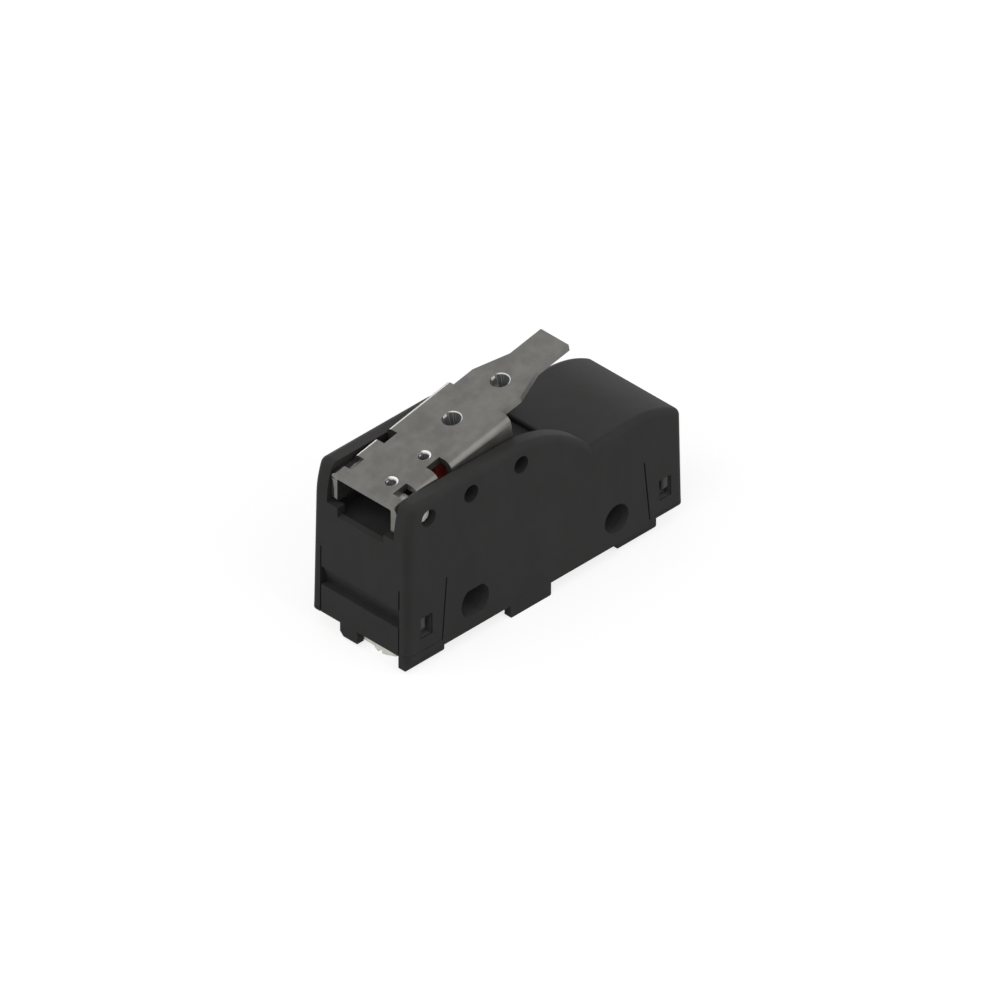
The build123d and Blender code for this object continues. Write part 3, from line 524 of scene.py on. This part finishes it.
@dataclass(frozen=True)
class GlintPaintedCollar:
    """Wall of a drawn hole: sheet colour on its rounded edge, below it streaks that are partly die
    marks and partly painted reflection, and two patches of painted highlight.

    Angles are in degrees from the lever's length.
    """

    name: str
    centre: Tuple[float, float, float]
    slope: float
    hole: DrawnHole
    sheet: Colour = (0.175, 0.171, 0.16)
    # the wall's streaks run from dark to white: partly die marks, partly painted reflection
    dark: Colour = (0.14, 0.14, 0.145)
    bright: Colour = WHITE
    # painted highlight: the white colour of the crescent and the spot
    glint_paint_colour: Colour = (1.0, 1.0, 0.98)
    roughness: float = 0.24
    diffuse_share: float = 0.85
    streak: Grain = Grain(2.2, 2.0, 0.6)
    streak_contrast: Tuple[float, float] = (0.5, 0.6)
    streak_dulling: float = 0.1
    streak_depth: float = 0.02 * MM
    streak_strength: float = 0.2
    wall_start: Tuple[float, float] = (-1.1, -0.7)
    crescent_angle: float = -10.0
    crescent_half: float = 84.0
    crescent_rise: float = 0.1 * MM
    spot_angle: float = 92.0
    spot_half: float = 19.0
    patch_core: float = 0.6
    patch_margin: float = 0.05 * MM

    def patch(self, graph: Graph, circle: Signal, height: Signal, angle: float, half: float,
              depths: Tuple[float, float]) -> Signal:
        """Mask of a patch of painted highlight on the wall below the hole's edge.

        Args:
            graph: the graph that takes the nodes.
            circle: unit vector from the hole's axis, whose part along the patch's middle is the
                cosine of the angle between them.
            height: height above the sheet's top face.
            angle: the patch's middle.
            half: its half width, where it has faded out.
            depths: how far below the face it starts and ends.

        Returns:
            1 in the patch and 0 outside it.
        """
        middle = math.radians(angle)
        cosine = (graph.part(circle, Axis.X) * math.cos(middle)
                  + graph.part(circle, Axis.Y) * math.sin(middle))
        rim, core = math.radians(half), math.radians(self.patch_core * half)
        around = cosine.ramp(math.cos(rim), math.cos(core))
        return around * height.band(-depths[1], -depths[0], self.patch_margin)

    def build(self) -> bpy.types.Material:
        """Makes the finish; the streaks, partly die marks and partly painted reflection, are noise
        on the unit circle about the hole's axis.

        Returns:
            The material.
        """
        graph = material_graph(self.name)
        local = graph.mapped(centre=self.centre, turn=(0.0, -self.slope, 0.0))
        height = graph.part(local, Axis.Z)
        flat = graph.node("ShaderNodeVectorMath", {"operation": "MULTIPLY"},
                          {0: local, 1: (1.0, 1.0, 0.0)})
        circle = graph.node("ShaderNodeVectorMath", {"operation": "NORMALIZE"}, {0: flat})
        streak = graph.noise(circle, self.streak)
        wall = 1.0 - height.ramp(*(share * self.hole.edge for share in self.wall_start))
        crescent = self.patch(graph, circle, height, self.crescent_angle, self.crescent_half,
                              (-self.crescent_rise, self.hole.crescent))
        spot = self.patch(graph, circle, height, self.spot_angle, self.spot_half, self.hole.spot)
        # painted highlight: the crescent and spot are painted white and made mostly diffuse
        glint = crescent.larger(spot)
        # white streaks: partly die marks, partly painted reflection
        streaked = graph.mix(streak.ramp(*self.streak_contrast), self.dark, self.bright)
        colour = graph.mix(glint, graph.mix(wall, self.sheet, streaked), self.glint_paint_colour)
        return graph.finish(graph.principled({
            "Base Color": colour, "Metallic": 1.0 - glint.larger(wall) * self.diffuse_share,
            "Roughness": self.roughness + streak.sway(self.streak_dulling),
            "Normal": graph.bump(streak, self.streak_depth, self.streak_strength),
        }))


@dataclass(frozen=True)
class RedPlastic:
    """Red moulded plunger plastic, smooth and slightly glossy."""

    name: str
    deep: Colour = (0.42, 0.05, 0.048)
    bright: Colour = (0.52, 0.07, 0.064)
    contrast: Tuple[float, float] = (0.35, 0.65)
    roughness: float = 0.33
    specular: float = 0.4
    cloud: Grain = Grain(500.0)
    cloud_dulling: float = 0.15
    fine: Grain = Grain(6000.0, 2.0)
    fine_depth: float = 0.006 * MM
    fine_strength: float = 0.2

    def build(self) -> bpy.types.Material:
        """Makes the finish.

        Returns:
            The material.
        """
        graph = material_graph(self.name)
        cloud = graph.noise(graph.position(), self.cloud)
        fine = graph.noise(graph.position(), self.fine)
        return graph.finish(graph.principled({
            "Base Color": graph.mix(cloud.ramp(*self.contrast), self.deep, self.bright),
            "Roughness": self.roughness + cloud.sway(self.cloud_dulling),
            "Normal": graph.bump(fine, self.fine_depth, self.fine_strength),
            "Specular IOR Level": self.specular,
        }))


@dataclass(frozen=True)
class StudioFloor:
    """Pale floor that reads white in the background and keeps the soft shadow."""

    name: str = "studio_floor"
    colour: Colour = (0.36, 0.36, 0.36)
    lift: float = 0.765
    roughness: float = 0.9
    spread: float = 0.1
    grain: Grain = Grain(30.0, 2.0)

    def build(self) -> bpy.types.Material:
        """Makes the finish; only the rays that see the background see its glow.

        Returns:
            The material.
        """
        graph = material_graph(self.name)
        roughness = graph.noise(graph.position(), self.grain) * self.spread + self.roughness
        plain = graph.node("ShaderNodeBsdfDiffuse", {},
                           {"Color": self.colour, "Roughness": roughness})
        glow = graph.node("ShaderNodeEmission", {}, {"Color": WHITE, "Strength": self.lift})
        both = graph.node("ShaderNodeAddShader", {}, {0: plain, 1: glow})
        return graph.finish(graph.mixed_shader(graph.backdrop_rays(), plain, both))


class Finish(Enum):
    """The finishes that the switch's pieces share, by the name of their material."""

    COVER = "moulded_cover"
    BASE = "moulded_base"
    LEVER = "rolled_lever_sheet"
    PIN = "bright_pin_steel"
    PLUNGER = "red_plunger_plastic"
    SPRING = "spring_wire"
    STRIP = "brass_strip"
    SILVER = "contact_silver"
    ZINC = "zinc_plate"


@dataclass
class FinishRack:
    """Makes each shared finish once and hands it out."""

    slope: float
    bend_start: float
    pin_centre: Tuple[float, float, float]
    made: Dict[Finish, bpy.types.Material] = field(default_factory=dict)

    def recipe(self, finish: Finish) -> Union[MouldedThermoset, RolledSheet, TurnedMetal,
                                              RedPlastic]:
        """Finds the recipe of a finish.

        Args:
            finish: which of the shared finishes.

        Returns:
            The small class that builds its material.
        """
        name = finish.value
        recipes = {
            Finish.COVER: MouldedThermoset(name),
            Finish.BASE: MouldedThermoset(name, roughness=0.64),
            Finish.LEVER: RolledSheet(name, slope=self.slope, bend_start=self.bend_start),
            Finish.PIN: TurnedMetal(name, (0.74, 0.74, 0.7), (0.9, 0.9, 0.86), self.pin_centre,
                                    axis=Axis.Y, roughness=0.35, metallic=0.2),
            Finish.PLUNGER: RedPlastic(name),
            Finish.SPRING: TurnedMetal(name, (0.4, 0.4, 0.39), (0.6, 0.6, 0.58), roughness=0.28),
            Finish.STRIP: RolledSheet(name, (0.48, 0.33, 0.13), (0.62, 0.44, 0.2), roughness=0.34),
            Finish.SILVER: TurnedMetal(name, (0.7, 0.69, 0.66), (0.85, 0.84, 0.8), roughness=0.25),
            Finish.ZINC: RolledSheet(name, (0.5, 0.5, 0.46), (0.66, 0.66, 0.61), roughness=0.36),
        }
        return recipes[finish]

    def take(self, finish: Finish) -> bpy.types.Material:
        """Gives a finish's material, made on its first use.

        Args:
            finish: which of the shared finishes.

        Returns:
            The material.
        """
        if finish not in self.made:
            self.made[finish] = self.recipe(finish).build()
        return self.made[finish]


def centre_of(node: str) -> Tuple[float, float, float]:
    """Middle of a CAD node's box at rest."""
    low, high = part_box(node)
    return tuple((a + b) / 2 for a, b in zip(low, high))


def dress(node: str, material: bpy.types.Material) -> None:
    """Gives a CAD node its material and reports it.

    Args:
        node: the node's name.
        material: what it is dressed with.
    """
    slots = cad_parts[node].data.materials
    slots.clear()
    slots.append(material)
    LOG.info("dressed %s with %s", node, material.name)


# Surfaces

def turned_ring(profile: np.ndarray, steps: int) -> Tuple[np.ndarray, List[List[int]]]:
    """Closed ring from a closed profile carried round an axis.

    The point of parameters i and j is (r cos a, r sin a, h), where r and h are the profile's
    i-th radius and height and a is the j-th of equal angles round the axis.

    Args:
        profile: rows of radius and height, in order round the ring's section.
        steps: how many angles.

    Returns:
        The vertices as rows of three, and the faces.
    """
    angle = np.linspace(0.0, 2 * np.pi, steps, endpoint=False)
    radius, height = profile[:, :1], profile[:, 1:]
    parts = np.broadcast_arrays(radius * np.cos(angle), radius * np.sin(angle), height)
    grid = np.stack(parts, axis=-1)
    count = len(profile)
    i, j = np.meshgrid(np.arange(count), np.arange(steps), indexing="ij")
    this, after = i * steps, (i + 1) % count * steps
    next_j = (j + 1) % steps
    faces = np.stack([this + j, this + next_j, after + next_j, after + j], axis=-1)
    return grid.reshape(-1, 3), faces.reshape(-1, 4).tolist()


def coiled_wire(radius: float, wire: float, turns: float, low: float, height: float, steps: int,
                sides: int) -> Tuple[np.ndarray, List[List[int]]]:
    """Round wire coiled about the Z axis, with closed ends.

    The point of parameters t and a is c(t) + w (n(t) cos a + b(t) sin a). Here c is the helix
    (R cos t, R sin t, low + height t / (2 pi turns)), n is (cos t, sin t, 0), b is the tangent
    crossed with n, and w is the wire's radius.

    Args:
        radius: the helix's radius R.
        wire: the wire's radius.
        turns: how many turns.
        low: the helix's lowest Z.
        height: how far it rises.
        steps: rings along the wire.
        sides: points round the wire.

    Returns:
        The vertices as rows of three, and the faces.
    """
    t = np.linspace(0.0, 2 * np.pi * turns, steps)
    a = np.linspace(0.0, 2 * np.pi, sides, endpoint=False)[None, :, None]
    cosine, sine = np.cos(t), np.sin(t)
    outward = np.stack([cosine, sine, np.zeros(steps)], axis=1)
    path = np.stack([radius * cosine, radius * sine, low + height * t / t[-1]], axis=1)
    rise = np.full(steps, height / t[-1])
    tangent = np.stack([-radius * sine, radius * cosine, rise], axis=1)
    tangent /= np.linalg.norm(tangent, axis=1, keepdims=True)
    other = np.cross(tangent, outward)
    grid = path[:, None] + wire * (outward[:, None] * np.cos(a) + other[:, None] * np.sin(a))
    i, j = np.meshgrid(np.arange(steps - 1), np.arange(sides), indexing="ij")
    this, after = i * sides, (i + 1) * sides
    next_j = (j + 1) % sides
    quads = np.stack([this + j, this + next_j, after + next_j, after + j], axis=-1)
    around = list(range(sides))
    ends = [around[::-1], [(steps - 1) * sides + k for k in around]]
    return grid.reshape(-1, 3), quads.reshape(-1, 4).tolist() + ends


def place_piece(name: str, vertices: np.ndarray, faces: Sequence[Sequence[int]],
                material: bpy.types.Material, body: str) -> bpy.types.Object:
    """Makes a smooth-shaded piece of a mesh whose points are already in place.

    Args:
        name: the piece's name.
        vertices: rows of three, in the part's frame.
        faces: the vertex numbers of each face.
        material: what it is dressed with.
        body: the CAD body that it rides on.

    Returns:
        The piece's object.
    """
    mesh = bpy.data.meshes.new(name)
    mesh.from_pydata(vertices.tolist(), [], [list(face) for face in faces])
    mesh.shade_smooth()
    mesh.set_sharp_from_angle(angle=SHARP_EDGE)
    mesh.materials.append(material)
    piece = bpy.data.objects.new(name, mesh)
    bpy.context.scene.collection.objects.link(piece)
    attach(piece, body)
    LOG.info("made %s with %d faces", name, len(faces))
    return piece


# The switch's sub-assemblies

@dataclass
class Housing:
    """The moulded cover and the base that it snaps over."""

    cover: str = "upper_cover"
    base: str = "base"

    def build(self, rack: FinishRack) -> None:
        """Dresses both mouldings."""
        dress(self.cover, rack.take(Finish.COVER))
        dress(self.base, rack.take(Finish.BASE))


@dataclass
class LeverAssembly:
    """The bent lever, its pin, and the linings of its four drawn holes, with painted highlights.
    """

    sheet: str = "lever"
    pin: str = "pivot_pin"
    slope: float = math.radians(10.7)
    front: Tuple[float, float] = (-24.15 * MM, 24.6 * MM)
    thickness: float = 1.0 * MM
    bend_start: float = 4.6 * MM
    proud: float = 0.012 * MM
    edge_steps: int = 12
    ring_steps: int = 72
    ends: Tuple[str, str] = ("front", "rear")
    holes: Tuple[DrawnHole, ...] = (
        DrawnHole("large_hole_lining_", along=(16.15 * MM, 24.93 * MM), across=0.0,
                  radius=1.35 * MM, collar=1.0 * MM, edge=0.06 * MM, throat=0.86 * MM,
                  crescent=0.16 * MM, spot=(0.04 * MM, 0.5 * MM)),
        DrawnHole("small_hole_lining_", along=(3.12 * MM, 9.08 * MM), across=-1.94 * MM,
                  radius=0.95 * MM, collar=0.35 * MM, edge=0.24 * MM, throat=0.5 * MM,
                  crescent=0.34 * MM, spot=(0.2 * MM, 0.5 * MM)))

    def lining_section(self, hole: DrawnHole) -> np.ndarray:
        """Section of a hole's lining.

        It runs down just inside the sheet, back to the throat, up the tapered wall, and round
        a quarter circle to the hole's edge.

        Args:
            hole: the hole's sizes.

        Returns:
            Rows of radius and height above the sheet's top face.
        """
        turn = np.linspace(np.pi, np.pi / 2, self.edge_steps)
        entry = np.stack([hole.radius + hole.edge * np.cos(turn),
                          self.proud + hole.edge * (np.sin(turn) - 1)], axis=1)
        bottom = -(self.thickness + hole.collar) - self.proud
        outside = hole.radius + 2 * self.proud
        low = np.array([[hole.throat, bottom]])
        back = np.array([[outside, self.proud], [outside, bottom]])
        return np.concatenate([low, entry, back])[::-1]

    def hole_place(self, along: float, across: float) -> Tuple[float, float, float]:
        """Centre of a hole on the sheet's top face, from its place along and across the lever."""
        return (self.front[0] + along * math.cos(self.slope), across,
                self.front[1] + along * math.sin(self.slope))

    def line_hole(self, name: str, along: float, hole: DrawnHole) -> None:
        """Makes one hole's lining, turned to lie along the lever.

        Args:
            name: the piece's name.
            along: the hole's distance from the lever's front edge.
            hole: the hole's sizes.
        """
        centre = self.hole_place(along, hole.across)
        points, faces = turned_ring(self.lining_section(hole), self.ring_steps)
        cosine, sine = math.cos(self.slope), math.sin(self.slope)
        tilt = np.array([[cosine, 0.0, sine], [0.0, 1.0, 0.0], [-sine, 0.0, cosine]])
        # each lining carries painted highlights and painted reflection
        material = GlintPaintedCollar("glint_painted_" + name, centre, self.slope, hole).build()
        points = points @ tilt + np.array(centre)
        place_piece(name, points, faces, material, "lever")

    def build(self, rack: FinishRack) -> None:
        """Dresses the sheet and the pin and lines the holes.

        Args:
            rack: the shared finishes.
        """
        dress(self.sheet, rack.take(Finish.LEVER))
        dress(self.pin, rack.take(Finish.PIN))
        for hole in self.holes:
            for end, along in zip(self.ends, hole.along):
                self.line_hole(hole.name + end, along, hole)


@dataclass
class Drive:
    """The plunger with its spring seat, and a return spring."""

    plunger: str = "plunger"
    seat: str = "spring_seat"
    spring: str = "return_spring"
    coil_radius: float = 1.8 * MM
    wire_radius: float = 0.2 * MM
    turns: float = 5.0
    floor: float = 3.4 * MM
    seat_bottom: float = 7.4 * MM
    end_gap: float = 0.02 * MM
    stroke: float = 2.06 * MM
    coil_steps: int = 300
    wire_sides: int = 12

    def make_coil(self, material: bpy.types.Material) -> None:
        """Makes the coil that stands for the CAD spring, and hides the CAD spring.

        Args:
            material: what it is dressed with.
        """
        reach = self.wire_radius + self.end_gap
        low, high = self.floor + reach, self.seat_bottom - reach
        points, faces = coiled_wire(self.coil_radius, self.wire_radius, self.turns, low,
                                    high - low, self.coil_steps, self.wire_sides)
        coil = place_piece("return_coil", points, faces, material, "housing")
        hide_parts(self.spring)
        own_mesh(coil)

    def build(self, rack: FinishRack) -> None:
        """Dresses the plunger, its seat and the CAD spring, and makes the coil.

        Args:
            rack: the shared finishes.
        """
        dress(self.plunger, rack.take(Finish.PLUNGER))
        dress(self.seat, rack.take(Finish.PIN))
        dress(self.spring, rack.take(Finish.SPRING))
        self.make_coil(rack.take(Finish.SPRING))


@dataclass
class ContactSet:
    """The bridge, its snap springs and the contact rivets."""

    bridge: str = "contact_bridge"
    ends: Tuple[str, ...] = ("front", "rear")
    circuits: Tuple[str, ...] = ("open", "closed")
    kinds: Tuple[str, ...] = ("fixed", "moving")

    def build(self, rack: FinishRack) -> None:
        """Dresses the bridge, the leaves and the rivets.

        Args:
            rack: the shared finishes.
        """
        dress(self.bridge, rack.take(Finish.STRIP))
        for end in self.ends:
            dress("snap_spring_" + end, rack.take(Finish.SPRING))
            for circuit in self.circuits:
                for kind in self.kinds:
                    dress(f"{kind}_contact_{circuit}_{end}", rack.take(Finish.SILVER))


@dataclass
class TerminalSet:
    """The four terminals with their screws and clamp plates."""

    places: Tuple[str, ...] = ("open_front", "open_rear", "closed_front", "closed_rear")
    screw_dull: Colour = (0.52, 0.52, 0.48)
    screw_bright: Colour = (0.7, 0.7, 0.65)
    screw_roughness: float = 0.34

    def build(self, rack: FinishRack) -> None:
        """Dresses the strips, plates and screws; a screw's turning rings are about its own axis.

        Args:
            rack: the shared finishes.
        """
        for place in self.places:
            dress("terminal_" + place, rack.take(Finish.STRIP))
            dress("clamp_plate_" + place, rack.take(Finish.ZINC))
            screw = "terminal_screw_" + place
            turned = TurnedMetal("turned_" + screw, self.screw_dull, self.screw_bright,
                                 centre_of(screw), roughness=self.screw_roughness)
            dress(screw, turned.build())


# Studio

@dataclass(frozen=True)
class Lamp:
    """Rectangular soft lamp.

    It stands at an azimuth and elevation in degrees and a distance from the aim. Its size is
    width and height, and its power is in watts.
    """

    name: str
    azimuth: float
    elevation: float
    distance: float
    size: Tuple[float, float]
    power: float


@dataclass
class Studio:
    """Camera, floor, world and lamps. Angles are in degrees; lens and sensor in millimetres."""

    azimuth: float = -45.0
    elevation: float = 35.264
    aim: Tuple[float, float, float] = (-2.89 * MM, -3.27 * MM, 13.9 * MM)
    view_width: float = 126.84 * MM
    lens: float = 1200.0
    sensor: float = 36.0
    clip_ratio: float = 4.0
    floor_half: float = 4.0
    world_strength: float = 0.595
    seen_strength: float = 1.0
    lamps: Tuple[Lamp, ...] = (
        Lamp("key", -80.0, 40.0, 0.6, (0.6, 0.6), 0.6),
        Lamp("fill", 20.0, 24.0, 0.7, (0.7, 0.7), 1.3),
        Lamp("rim", 147.0, 9.0, 0.5, (0.35, 0.14), 0.5),
        Lamp("glint", -135.0, 36.0, 0.5, (0.16, 0.16), 0.25),
    )

    def back(self, azimuth: float, elevation: float) -> Vector:
        """Unit vector from the aim towards a viewer at these angles."""
        a, e = math.radians(azimuth), math.radians(elevation)
        return Vector((math.sin(a) * math.cos(e), -math.cos(a) * math.cos(e), math.sin(e)))

    def set_up(self, thing: bpy.types.Object, direction: Vector, distance: float) -> None:
        """Stands a camera or lamp off the aim and turns it to face it.

        Args:
            thing: the camera's or lamp's object.
            direction: unit vector from the aim towards it.
            distance: how far it stands from the aim.
        """
        thing.location = Vector(self.aim) + distance * direction
        thing.rotation_euler = direction.to_track_quat("Z", "Y").to_euler()
        bpy.context.scene.collection.objects.link(thing)

    def make_camera(self) -> None:
        """Long lens at the photograph's angle, so the view is almost parallel."""
        data = bpy.data.cameras.new("camera")
        data.sensor_width = self.sensor
        data.lens = self.lens
        distance = self.view_width * self.lens / self.sensor
        data.clip_end = self.clip_ratio * distance
        camera = bpy.data.objects.new("camera", data)
        self.set_up(camera, self.back(self.azimuth, self.elevation), distance)
        bpy.context.scene.camera = camera

    def make_floor(self) -> None:
        """Flat floor at the feet."""
        half = self.floor_half
        corners = [(-half, -half, 0), (half, -half, 0), (half, half, 0), (-half, half, 0)]
        mesh = bpy.data.meshes.new("floor")
        mesh.from_pydata(corners, [], [(0, 1, 2, 3)])
        floor = bpy.data.objects.new("floor", mesh)
        mesh.materials.append(StudioFloor().build())
        bpy.context.scene.collection.objects.link(floor)

    def make_world(self) -> None:
        """Even grey surroundings that read white in the background."""
        world = bpy.data.worlds.new("studio")
        bpy.context.scene.world = world
        graph = Graph(world)
        lit, seen = (graph.node("ShaderNodeBackground", {}, {"Color": WHITE, "Strength": strength})
                     for strength in (self.world_strength, self.seen_strength))
        graph.finish(graph.mixed_shader(graph.backdrop_rays(), lit, seen))

    def make_lamp(self, lamp: Lamp) -> None:
        """Makes one lamp.

        Args:
            lamp: its place, size and power.
        """
        data = bpy.data.lights.new(lamp.name, "AREA")
        data.shape = "RECTANGLE"
        data.size, data.size_y = lamp.size
        data.energy = lamp.power
        direction = self.back(lamp.azimuth, lamp.elevation)
        self.set_up(bpy.data.objects.new(lamp.name, data), direction, lamp.distance)

    def build(self) -> None:
        """Makes everything that isn't the part."""
        bpy.context.scene.view_settings.view_transform = "Standard"
        self.make_camera()
        self.make_floor()
        self.make_world()
        for lamp in self.lamps:
            self.make_lamp(lamp)
        LOG.info("studio made")


def main() -> None:
    """Builds the studio, then the switch's sub-assemblies in order."""
    logging.basicConfig(level=logging.INFO)
    Studio().build()
    lever = LeverAssembly()
    rack = FinishRack(lever.slope, lever.bend_start, centre_of(lever.pin))
    for assembly in (Housing(), lever, Drive(), ContactSet(), TerminalSet()):
        assembly.build(rack)


if __name__ == "__main__":
    main()
